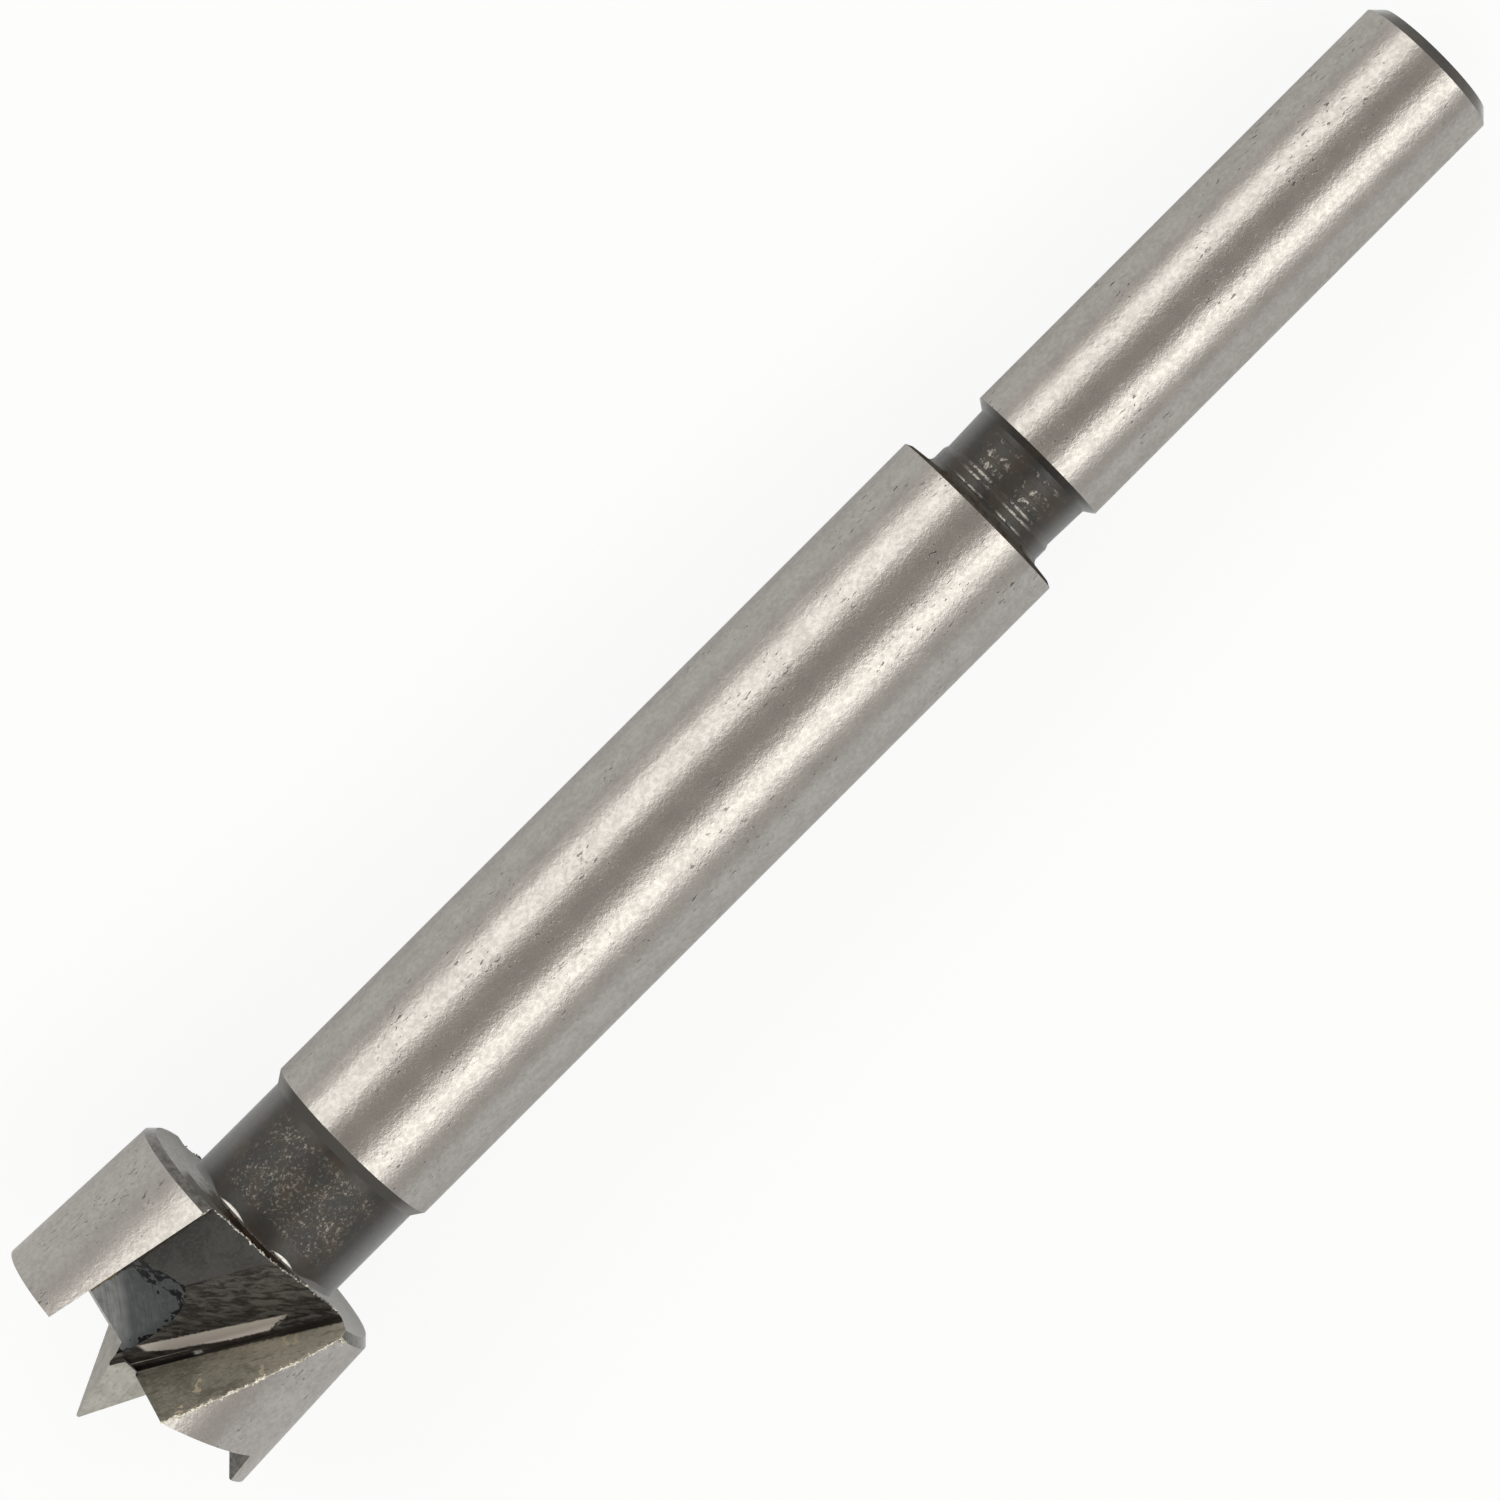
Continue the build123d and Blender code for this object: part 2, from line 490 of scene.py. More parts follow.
pit_group, given, leaving = group("pits", {"Skin": "vector", "Threshold": "number"}, {"Mask": "number"})
strokes = noise(stretch(given["Skin"], PIT_STRETCH), 1.0, 2.0, 0.6, 0.5)
clusters = noise(given["Skin"], 0.33, 1.0)
deep = fade(strokes, given["Threshold"], add_up(given["Threshold"], PIT_SOFTNESS))
hand_out(leaving, {"Mask": times(deep, fade(clusters, 0.50, 0.62))})

# %% [markdown]
# ## Ground steel
# The rim, the body and the shank were ground to size between wheels. The steel is a warm light grey,
# mottled at a fine scale, with faint rings from the wheel, a slight waviness that makes reflections
# tremble, and pits. The head has more pits than the rest, so their threshold is lower there.

# %% Material: ground steel
STEEL = ((0.344, 0.329, 0.315), (0.436, 0.419, 0.403))
PIT_COLOUR = (0.10, 0.09, 0.08)
PITS_ON_HEAD = 0.624
PITS_BEHIND = 0.640
PIT_CHANGE = (13.0, 20.0)
GROUND_DEPTH = 0.008


def new_material(name, metallic, specular=0.5, ior=1.5):
    """A material with its shader, and its own place-on-tool box."""
    made = bpy.data.materials.new(name)
    made.use_nodes = True
    shader = made.node_tree.nodes["Principled BSDF"]
    shader.inputs["Metallic"].default_value = metallic
    shader.inputs["Specular IOR Level"].default_value = specular
    shader.inputs["IOR"].default_value = ior
    print("new material", name, "metallic", metallic)
    return made, shader, use(place_group, tree=made.node_tree)


def feed(shader, label, value):
    """Let an output feed the shader's input of this name."""
    shader.id_data.links.new(value, shader.inputs[label])


def wire(shader, colour, pattern, rough, height, depth, span=(0.3, 0.7)):
    """Feed the shader. Roughness follows a pattern, and a height of 1 stands proud by the depth in mm."""
    feed(shader, "Base Color", colour)
    feed(shader, "Roughness", fade(pattern, *span, *rough))
    bump = box("ShaderNodeBump", {"Height": height, "Strength": 1.0, "Distance": depth * MM})
    feed(shader, "Normal", bump.outputs[0])


ground, shader, where = new_material("ground_steel", 1.0)
waves = noise(where["Place"], 0.8, 2.0)
mottle = noise(where["Place"], 3.4, 3.0, 0.6)
grain = noise(where["Place"], 8.0, 2.0, 0.6)
rings = noise(stretch(where["Skin"], (9.0, 0.25, 0.0)), 1.0, 2.0)
scarce = fade(where["Along"], *PIT_CHANGE, PITS_ON_HEAD, PITS_BEHIND)
pits = use(pit_group, {"Skin": where["Skin"], "Threshold": scarce})["Mask"]
tone = add_up(times(waves, 0.25), times(mottle, 0.5), times(grain, 0.25))
colour = blend(fade(tone, 0.36, 0.64), *STEEL)
colour = blend(times(pits, 0.85), colour, PIT_COLOUR)
height = add_up(times(waves, 0.8), times(mottle, 2.0), grain, times(rings, 0.05))
height = minus(height, times(pits, 1.2))
wire(shader, colour, mottle, (0.345, 0.275), height, GROUND_DEPTH)

# %% [markdown]
# ## Black oxide
# Blackened steel is a thin dark scale. In the middle it is charcoal with rusty patches, and towards its
# sides a painted sheen makes it paler, for the light of the white room that slides over it. Crumbs of bare
# steel flash from it, fine ones on the neck and coarser ones in the groove, where they follow the rings of
# the lathe. They are thinned out where no lamp is mirrored, so where they show is partly a painted glint.
# The chamfer behind the head is mottled where it has worn. The tight corner at the neck's root is
# rusty in the middle, a painted sheen makes it pale towards the sides, and two slivers of it carry a
# painted highlight where the lamps are mirrored.

# %% Material: black oxide
OXIDE = ((0.021, 0.020, 0.018), (0.036, 0.027, 0.020))
OXIDE_PAINTED_SHEEN = (0.118, 0.120, 0.122)
NECK_SPECK = (0.225, 0.209, 0.187)
GROOVE_SPECK = (0.27, 0.257, 0.236)
CHAMFER = ((0.052, 0.046, 0.038), (0.118, 0.113, 0.108))
ROOT_PAINTED_SHEEN = (0.140, 0.140, 0.138)
ROOT_RUST = (0.034, 0.021, 0.014)
ROOT_PAINTED_HIGHLIGHT = (0.55, 0.53, 0.50)
ROOT_START = 13.06
ROOT_END = 13.33
HIGHLIGHT_SLIVERS = ((-1.75, 0.24), (1.65, 0.34))
GRIT_START = (13.75, 14.2)
GRIT_END = (18.0, 18.4)
MID_BODY = (40.0, 41.0)
END_FACE = (93.90, 93.97)
CHAMFER_RADIUS = (6.9, 7.1)
CHAMFER_START = (12.3, 12.4)
RING_EDGE = 0.07
GROOVE_RINGS = ((63.16, 0.03), (63.70, 0.05), (64.02, 0.04), (64.45, 0.16), (65.10, 0.22), (65.86, 0.09))
THIN_RING = 0.06
THIN_RING_LIFT = 0.13
SPECK_AND_GLINT_LIMITS = ((0.58, 0.49), (0.78, 0.68), (0.70, 0.665))


def to_side(where):
    """0 on the middle line of the tool as the viewer sees it, 1 on its outline."""
    return calc("DIVIDE", off(where["Across"]), where["Radius"])


oxide, shader, where = new_material("black_oxide", 0.0, 0.5, 1.47)
for label, value in (("Weight", 1.0), ("Roughness", 0.29), ("Tint", (0.92, 0.96, 1.0, 1.0))):
    shader.inputs["Sheen " + label].default_value = value
sideways = to_side(where)
patches = noise(where["Place"], 0.9, 3.0)
colour = blend(fade(patches, 0.4, 0.62), *OXIDE)
# Painted sheen: the colour turns paler towards the outline, for the light that slides over the scale there.
painted_sheen_at_side = times(fade(sideways, 0.74, 0.97), fade_out(where["Along"], *END_FACE))
colour = blend(painted_sheen_at_side, colour, OXIDE_PAINTED_SHEEN)

in_groove = fade(where["Along"], *MID_BODY)
crumbs = noise(where["Place"], fade(in_groove, 0.0, 1.0, 5.2, 3.9), 3.0, 0.75)
clusters = noise(where["Place"], 0.9, 2.0)
coarse = times(fade(where["Along"], *GRIT_START), fade_out(where["Along"], *GRIT_END))
# Painted glint: in the groove the crumbs are thinned out along its middle, where no lamp is mirrored.
painted_glint_off_middle = fade(sideways, 0.06, 0.22, 0.15, 1.0)
lift = 0.0
for middle, half in GROOVE_RINGS:
    ring = fade_out(off(where["Along"], middle), half, half + RING_EDGE)
    ring = times(ring, painted_glint_off_middle)
    coarse = highest(coarse, ring)
    lift = highest(lift, times(ring, THIN_RING_LIFT if half < THIN_RING else 0.0))
worn = add_up(crumbs, times(minus(clusters, 0.5), 0.20), lift)
glint_side_from, glint_side_to, full = [fade(in_groove, 0.0, 1.0, *pair) for pair in SPECK_AND_GLINT_LIMITS]
# Painted glint: the crumbs are thinned out towards the sides, where no lamp is mirrored.
coarse = times(coarse, fade(sideways, glint_side_from, glint_side_to, 1.0, 0.1))
speck = times(fade(worn, 0.52, full), coarse)
colour = blend(speck, colour, blend(in_groove, NECK_SPECK, GROOVE_SPECK))

chamfer = times(fade(where["Radius"], *CHAMFER_RADIUS), fade(where["Along"], *CHAMFER_START))
mottle = noise(where["Place"], 2.6, 3.0, 0.7)
colour = blend(chamfer, colour, blend(fade(mottle, 0.38, 0.62), *CHAMFER))

# Painted sheen: the corner turns pale towards the sides, as the neck does.
wedge = minus(where["Along"], fade(sideways, 0.55, 0.80, ROOT_START, ROOT_END))
behind = fade(where["Along"], ROOT_START - 0.1, ROOT_START)
colour = blend(times(fade_out(wedge, -0.08, 0.04), behind), colour, ROOT_PAINTED_SHEEN)
corner = times(fade(where["Along"], ROOT_START, ROOT_START + 0.08),
               fade_out(where["Along"], ROOT_END - 0.08, ROOT_END))
rust = times(fade_out(off(where["Across"]), 0.6, 1.6), 0.8)
colour = blend(times(corner, rust), colour, ROOT_RUST)
# Painted highlight: two bright slivers where the lamps are mirrored in the corner.
painted_highlight = 0.0
for middle, taper in HIGHLIGHT_SLIVERS:
    aside = minus(where["Across"], middle)
    swell = add_up(where["Along"], times(aside, aside, taper))
    painted_highlight = highest(painted_highlight, fade_out(swell, ROOT_END - 0.10, ROOT_END - 0.04))
painted_highlight = times(painted_highlight, corner)
colour = blend(painted_highlight, colour, ROOT_PAINTED_HIGHLIGHT)
feed(shader, "Metallic", highest(speck, painted_highlight))
wire(shader, colour, crumbs, (0.46, 0.34), times(crumbs, coarse), 0.05, (0.35, 0.65))

# %% [markdown]
# ## Backs of the head and the body
# The faces that look towards the shank were turned, never ground, and their scale is matt. They are seen at
# a very low angle, where a glossy skin would flash like a mirror, so this one has no gloss at all. Instead
# the outer parts of the head's back carry a painted reflection in pale grey, palest on one side, with a dark
# streak along the rim. Its middle, over the neck's root, is rusty with an olive border. The shoulder behind
# the body is rusty too, and a painted sheen makes it pale at the sides of the collar, as it makes the short
# cone between the neck and the body pale at its sides.

# %% Material: backs of the head and the body
BACK_PAINTED_REFLECTION = ((0.355, 0.355, 0.352), (0.450, 0.449, 0.445))
BACK_BRIGHTEST_REFLECTION = (0.560, 0.560, 0.556)
BACK_RUST = ((0.024, 0.018, 0.014), (0.046, 0.029, 0.019))
BACK_OLIVE = (0.085, 0.082, 0.070)
RIM_STREAK = (0.115, 0.115, 0.104)
SHOULDER = ((0.078, 0.072, 0.064), (0.060, 0.045, 0.034))
CONE_AND_SHEEN = ((0.084, 0.080, 0.075), (0.27, 0.27, 0.265))
MID_NECK = (14.0, 15.0)
BODY_START = (20.0, 21.0)
STREAK_RADIUS = (5.9, 6.3)
STREAK_SIDE = (4.3, 4.9)
COLLAR_RADIUS = (3.9, 4.4)

rear, shader, where = new_material("rear_scale", 0.0, 0.0, 1.5)
patches = noise(where["Place"], 1.3, 3.0, 0.6)
grit = noise(where["Place"], 4.0, 3.0, 0.7)
sideways = off(where["Across"])
outer = add_up(sideways, times(patches, 1.6))
# Painted reflection: the pale grey stands in for the gloss that this matt skin lacks, and it is palest on
# one side.
colour = blend(fade(grit, 0.35, 0.65), *BACK_PAINTED_REFLECTION)
colour = blend(fade(where["Across"], 1.0, 4.0, 0.0, 0.5), colour, BACK_BRIGHTEST_REFLECTION)
rusty = blend(fade(patches, 0.45, 0.60), *BACK_RUST)
rusty = blend(fade(outer, 2.4, 3.4), rusty, BACK_OLIVE)
colour = blend(fade(outer, 3.4, 5.2), rusty, colour)
streak = times(fade(where["Radius"], *STREAK_RADIUS), fade_out(sideways, *STREAK_SIDE), 0.85)
colour = blend(streak, colour, RIM_STREAK)
# Painted sheen: the sides of the cone and of the collar are painted pale.
rear_painted_sheen = fade(to_side(where), 0.70, 0.97)
collar_painted_sheen = times(rear_painted_sheen, fade_out(where["Radius"], *COLLAR_RADIUS))
shoulder = blend(collar_painted_sheen, blend(fade(patches, 0.45, 0.60), *SHOULDER), CONE_AND_SHEEN[1])
body_ends = blend(fade(where["Along"], *BODY_START), blend(rear_painted_sheen, *CONE_AND_SHEEN), shoulder)
colour = blend(fade(where["Along"], *MID_NECK), colour, body_ends)
wire(shader, colour, grit, (0.7, 0.55), add_up(grit, patches), 0.015)

# %% [markdown]
# ## Rake face
# The face that lifts the chip was ground after blackening, then the wheel's coolant darkened it to an olive
# tone. It is paler and more worn towards the shank, its rim is creamy, and small curls of swarf lie on it.
# Each curl is an open ring with a wavering line.

# %% Group: one curl of swarf
curl_group, given, leaving = group("curl_of_swarf", {
    "Place": "vector", "Along": "number", "Across": "number", "Curl along": "number",
    "Curl across": "number", "Size": "number"}, {"Mask": "number"})
off_along = minus(given["Along"], given["Curl along"])
off_across = minus(given["Across"], given["Curl across"])
waver = noise(given["Place"], 3.0, 2.0, 0.6)
reach = times(length(off_along, off_across), fade(waver, 0.3, 0.7, 0.6, 1.4))
ring = fade_out(off(reach, given["Size"]), 0.045, 0.10)
opening = fade(add_up(off_along, times(off_across, 0.6)), 0.05, 0.12, 1.0, 0.15)
hand_out(leaving, {"Mask": times(ring, opening)})

# %% Material: rake face
RAKE_OLIVE = ((0.262, 0.247, 0.203), (0.365, 0.342, 0.290))
RAKE_WORN = (0.55, 0.51, 0.425)
RAKE_FLECK = (0.62, 0.58, 0.47)
RAKE_PORE = (0.17, 0.155, 0.12)
RAKE_LINE = (0.16, 0.145, 0.115)
RAKE_RIM = (0.74, 0.69, 0.58)
RAKE_FOOT_SHADE = (0.035, 0.030, 0.024)
SWARF = (0.74, 0.64, 0.47)
LINES_SWING = -31
VALLEY_RUN = 0.6
WORN_END = (7.5, 12.0)
RIM_REACH = (9.10, 9.45)
FOOT_SHADE_REACH = (-1.77, -1.67)
RAKE_CURLS = ((6.05, 3.13, 0.20), (4.80, 3.50, 0.17), (10.39, 4.60, 0.19), (10.72, 4.85, 0.11),
              (8.73, 4.80, 0.10))


def from_valley(where):
    """Across as the near wing counts it, and how far that is from a line that runs with the valley."""
    mirrored = times(where["Across"], calc("SIGN", where["Up"]))
    return mirrored, minus(mirrored, times(where["Along"], VALLEY_RUN))


rake, shader, where = new_material("rake_face", 0.5, 0.5)
mirrored, foot = from_valley(where)
stain = noise(where["Place"], 0.8, 4.0, 0.6, 0.6)
grain = noise(where["Place"], 4.2, 4.0, 0.75)
swung = swing(where["Place"], LINES_SWING)
lines = noise(stretch(swung, (0.8, 5.0, 0.6)), 1.0, 3.0, 0.7)
colour = blend(fade(stain, 0.38, 0.66), *RAKE_OLIVE)
worn_end = fade(add_up(where["Along"], times(stain, 3.0)), *WORN_END)
colour = blend(times(worn_end, 0.9), colour, RAKE_WORN)
colour = blend(times(fade(grain, 0.50, 0.64), 0.42), colour, RAKE_FLECK)
colour = blend(fade(grain, 0.36, 0.48, 0.45, 0.0), colour, RAKE_PORE)
colour = blend(times(fade(lines, 0.52, 0.64), 0.5), colour, RAKE_LINE)
for curl_along, curl_across, size in RAKE_CURLS:
    curl = use(curl_group, {
        "Place": where["Place"], "Along": where["Along"], "Across": mirrored,
        "Curl along": curl_along, "Curl across": curl_across, "Size": size})
    colour = blend(times(curl["Mask"], 0.9), colour, SWARF)
scraps = noise(where["Place"], 2.2, 3.0, 0.7)
rimward = add_up(where["Radius"], times(scraps, 2.6), times(where["Along"], 0.042))
colour = blend(times(fade(rimward, *RIM_REACH), 0.8), colour, RAKE_RIM)
# Painted shade: the rake is darkened along its foot, in the corner of the valley.
painted_shade_at_foot = fade_out(add_up(foot, times(grain, 0.15)), *FOOT_SHADE_REACH)
colour = blend(painted_shade_at_foot, colour, RAKE_FOOT_SHADE)
wire(shader, colour, grain, (0.55, 0.42), add_up(grain, stain, times(lines, 0.5)), 0.018)

# %% [markdown]
# ## Gullet
# The V-shaped floor kept its oxide over the wavy marks of the milling cutter. Along the valley a stroke of
# the wheel left a ragged bare strip. Painted shade makes the corner below it nearly black, with a black line
# at the valley's foot, and one painted glint sits in it. The crease towards the ledge is darkened by
# painted shade as well.
# The two gullets are half a turn apart, so across is counted with the sign of up.

# %% Material: gullet floor and valley
GULLET = ((0.030, 0.028, 0.025), (0.112, 0.105, 0.096))
GULLET_FLECK = (0.22, 0.20, 0.18)
GULLET_CORNER_SHADE = (0.024, 0.017, 0.013)
BARE_STRIP = (0.68, 0.625, 0.575)
VALLEY_SHADE_LINE = (0.005, 0.004, 0.003)
VALLEY_GLINT = (0.42, 0.41, 0.38)
CREASE_SHADE = (0.012, 0.011, 0.010)
CUTTER_SWING = -48
SHADE_LINE_FOOT = -1.92
GLINT_FOOT = -2.02
GLINT_ALONG = 6.62
LEDGE_OFFSET = 3.355
STRIP_LOW = (-3.56, -3.49)
STRIP_START = (4.8, 5.0)
STRIP_END = (6.72, 6.95)
CREASE_SHADE_REACH = (0.15, 0.24)

gullet, shader, where = new_material("gullet_oxide", 0.1, 0.12, 1.5)
foot = from_valley(where)[1]
waves = noise(where["Place"], 1.1, 3.0, 0.6, 1.2)
swung = swing(where["Place"], CUTTER_SWING)
cutter = noise(stretch(swung, (0.9, 3.4, 0.6)), 1.0, 4.0, 0.72, 0.9)
grit = noise(where["Place"], 5.0, 4.0, 0.75)
colour = blend(fade(cutter, 0.40, 0.62), *GULLET)
colour = blend(times(fade(grit, 0.60, 0.72), 0.4), colour, GULLET_FLECK)

shaky = add_up(foot, times(minus(grit, 0.5), 0.22))
lower_edge = add_up(fade(where["Along"], 4.2, 6.2, -2.93, -2.48),
                    fade(where["Along"], 6.2, 8.3, 0.0, 0.21))
below = minus(shaky, lower_edge)
# Painted shade: the corner between the bare strip and the rake is darkened nearly black.
corner_shade = times(fade(below, 0.0, 0.14), fade(where["Along"], 6.6, 8.0, 0.5, 0.9))
colour = blend(corner_shade, colour, GULLET_CORNER_SHADE)

low = fade(minus(shaky, times(where["Along"], 0.05)), *STRIP_LOW)
high = fade_out(below, -0.04, 0.04)
start = fade(where["Along"], *STRIP_START)
ragged = add_up(where["Along"], times(grit, 1.4), times(foot, 1.7))
bare = times(low, high, start, fade_out(ragged, *STRIP_END))
colour = blend(bare, colour, BARE_STRIP)

# Painted shade: a black line at the valley's foot.
painted_shade_line = times(fade_out(off(shaky, SHADE_LINE_FOOT), 0.09, 0.17),
                   fade(where["Along"], 6.4, 6.9, 1.0, 0.6))
colour = blend(painted_shade_line, colour, VALLEY_SHADE_LINE)
# Painted glint: one small bright spot in the valley's corner.
painted_glint = times(fade_out(off(where["Along"], GLINT_ALONG), 0.08, 0.26),
             fade_out(off(foot, GLINT_FOOT), 0.04, 0.15), fade(grit, 0.44, 0.52))
colour = blend(painted_glint, colour, VALLEY_GLINT)

near_side = use(near_group, {"Place": where["Place"]})["Near side"]
# Painted shade: the crease towards the ledge is darkened.
to_crease = minus(LEDGE_OFFSET, measure(near_side, LEDGE_NORMAL))
painted_crease_shade = fade_out(add_up(to_crease, times(waves, 0.10)), *CREASE_SHADE_REACH)
painted_crease_shade = times(painted_crease_shade, fade(where["Along"], 9.6, 10.4, 1.0, 0.25), 0.8)
colour = blend(painted_crease_shade, colour, CREASE_SHADE)
calm = fade(bare, 0.0, 1.0, 1.0, 0.15)
height = times(add_up(times(grit, 0.4), cutter), calm)
wire(shader, colour, grit, (0.55, 0.4), height, 0.12)

# %% [markdown]
# ## A brown line under the trailing edge
# A brown ragged line runs where the steep wall meets the floor of the gullet, under the trailing edge.
# Both the ledge and the gash touch the wall, so the line is a group that the two materials share.

# %% Group: dirt at the foot of the wall
BROWN_LINE = ((0.150, 0.112, 0.055), (0.020, 0.014, 0.009))
EDGE_START = -4.887
EDGE_RUN = 0.183

brown_line_group, given, leaving = group("brown_line_under_edge", {"Near side": "vector"},
                                   {"Mask": "number", "Colour": "colour"})
spot = split(given["Near side"])
edge_line = add_up(times(spot["X"], EDGE_RUN), EDGE_START)
ragged = minus(noise(given["Near side"], 2.0, 3.0, 0.7), 0.5)
gap = add_up(minus(spot["Y"], edge_line), times(ragged, 0.5))
hand_out(leaving, {"Mask": fade_out(gap, 0.10, 0.22), "Colour": blend(fade(spot["X"], 6.5, 7.1), *BROWN_LINE)})


def with_brown_line(near_side, colour):
    """The colour with the brown line laid over it."""
    brown_mark = use(brown_line_group, {"Near side": near_side})
    return blend(brown_mark["Mask"], colour, brown_mark["Colour"])


# %% [markdown]
# ## Ledge
# Under the wing the gullet's floor turns into a smooth ledge. It was milled with the flat end of the
# cutter, so it has none of the wavy marks, and its oxide is an even charcoal.

# %% Material: ledge
LEDGE = ((0.030, 0.0305, 0.029), (0.048, 0.047, 0.045))
LEDGE_FLECK = (0.066, 0.062, 0.056)

ledge, shader, where = new_material("ledge_oxide", 0.0, 0.25, 1.5)
waves = noise(where["Place"], 0.9, 3.0, 0.6, 0.8)
grit = noise(where["Place"], 6.0, 3.0, 0.7)
near_side = use(near_group, {"Place": where["Place"]})["Near side"]
colour = blend(fade(waves, 0.35, 0.65), *LEDGE)
colour = blend(fade(grit, 0.45, 0.65, 0.0, 0.5), colour, LEDGE_FLECK)
colour = with_brown_line(near_side, colour)
wire(shader, colour, grit, (0.62, 0.5), add_up(grit, waves), 0.012)

# %% [markdown]
# ## Steep wall
# The cutter's side left a steep wall under each trailing edge. Oil and rust gathered on it, so it is brown.

# %% Material: steep wall
WALL = ((0.060, 0.040, 0.022), (0.150, 0.120, 0.070))
WALL_SPOT = (0.035, 0.028, 0.022)

wall, shader, where = new_material("wall_oxide", 0.1, 0.3, 1.5)
stain = noise(where["Place"], 1.2, 3.0, 0.6, 0.5)
grit = noise(where["Place"], 5.0, 3.0, 0.7)
colour = blend(fade(stain, 0.38, 0.62), *WALL)
colour = blend(times(fade(grit, 0.56, 0.66), 0.5), colour, WALL_SPOT)
wire(shader, colour, grit, (0.6, 0.45), add_up(grit, stain), 0.02)

# %% [markdown]
# ## Gash
# The small wheel left a blue-grey hollow, with scratches that run up it at about 45 degrees. It is paler
# near the point. Where the wheel only just touched, the black oxide is still there, so the oxide fades in
# towards the plane of the gullet floor, with a few more blots along the border.

# %% Material: gash
GASH = ((0.078, 0.086, 0.090), (0.130, 0.138, 0.143))
GASH_PALE = (0.275, 0.282, 0.285)
GASH_SCRATCH = (0.26, 0.27, 0.28)
GASH_LOW = (0.034, 0.037, 0.040)
GASH_RIM = (0.23, 0.235, 0.24)
OXIDE_LEFT = (0.003, 0.003, 0.004)
FLOOR_NORMAL = (-0.43, 0.66, 0.62)
FLOOR_OFFSET = -0.984
SCRATCH_SIDEWAYS = (0.72, 0.67, 0.2)
BORDER_ALONG = 8.15
BORDER_ACROSS = -2.55

gash, shader, where = new_material("gash_steel", 0.2, 0.08, 1.5)
near_side = use(near_group, {"Place": where["Place"]})["Near side"]
beside = split(near_side)
lane = measure(near_side, SCRATCH_SIDEWAYS)
sunk = times(minus(LEDGE_OFFSET, measure(near_side, LEDGE_NORMAL)), 0.20)
depth = calc("MINIMUM", minus(FLOOR_OFFSET, measure(near_side, FLOOR_NORMAL)), sunk)
wander = noise(where["Place"], 0.5, 1.0)
lanes = joined(add_up(times(lane, 9.0), wander), times(wander, 3.0))
scratch = add_up(times(noise(lanes, 1.0, 4.0, 0.75), 0.6),
                 times(noise(where["Place"], 2.0, 4.0, 0.65), 0.4))
grain = noise(where["Place"], 4.0, 3.0, 0.6)
colour = blend(fade(scratch, 0.36, 0.64), *GASH)
pale = fade_out(add_up(beside["X"], beside["Y"], grain), 3.5, 4.9)
pale = times(pale, fade(scratch, 0.40, 0.60, 0.45, 1.0))
colour = blend(pale, colour, GASH_PALE)
colour = blend(times(fade(scratch, 0.62, 0.70), 0.5), colour, GASH_SCRATCH)

low_end = fade(minus(depth, 0.1), 0.0, 0.55, 0.50, 0.0)
colour = blend(low_end, colour, GASH_LOW)
torn = noise(where["Place"], 1.35, 3.0, 0.65, 0.8)
left = fade_out(add_up(depth, times(minus(torn, 0.5), 1.9)), 0.06, 0.12)
by_border = times(fade_out(off(beside["X"], BORDER_ALONG), 0.25, 0.60),
                  fade_out(off(beside["Y"], BORDER_ACROSS), 0.60, 1.00))
blots = add_up(noise(where["Place"], 2.4, 3.0, 0.6), times(by_border, 0.10))
left = highest(left, times(fade(blots, 0.56, 0.60), by_border))
colour = blend(left, colour, OXIDE_LEFT)
rim = times(fade_out(sunk, 0.008, 0.018), fade(grain, 0.45, 0.55), 0.7)
colour = blend(rim, colour, GASH_RIM)
colour = with_brown_line(near_side, colour)
wire(shader, colour, grain, (0.5, 0.4), add_up(times(grain, 0.5), scratch), 0.02)

# %% [markdown]
# ## Point, flanks and spurs
# The point was ground last, with strokes along its sides and a few fine cracks of stain. The flanks behind
# the cutting edges show the wheel's straight marks, and the inner bevels of the spurs are still dark.

# %% Material: ground point
POINT = ((0.305, 0.300, 0.270), (0.370, 0.362, 0.335))
POINT_STROKE = (0.22, 0.21, 0.185)
POINT_CRACK = (0.2, 0.19, 0.15)

point, shader, where = new_material("point_steel", 0.3)
strokes = noise(stretch(where["Place"], (0.5, 7.0, 7.0)), 1.0, 3.0, 0.6)
stain = noise(where["Place"], 1.4, 3.0, 0.6, 0.5)
crack = fade_out(off(noise(where["Place"], 0.9, 2.0, 0.5, 1.0), 0.5), 0.0, 0.012)
colour = blend(fade(stain, 0.35, 0.65), *POINT)
colour = blend(times(fade(strokes, 0.48, 0.66), 0.55), colour, POINT_STROKE)
colour = blend(times(crack, 0.3), colour, POINT_CRACK)
wire(shader, colour, stain, (0.40, 0.30), add_up(times(strokes, 0.6), stain), 0.012)

# %% Material: flanks
FLANK = ((0.29, 0.28, 0.265), (0.41, 0.395, 0.375))

flank, shader, where = new_material("flank_steel", 1.0)
strokes = noise(stretch(where["Place"], (1.0, 7.0, 0.5)), 1.0, 3.0, 0.65)
grain = noise(where["Place"], 3.0, 3.0, 0.6)
colour = blend(fade(strokes, 0.35, 0.65), *FLANK)
wire(shader, colour, grain, (0.42, 0.3), add_up(strokes, times(grain, 0.4)), 0.015)

# %% Material: spur bevels
SPUR = ((0.080, 0.078, 0.075), (0.142, 0.138, 0.132))
SPUR_STAIN = (0.045, 0.026, 0.026)

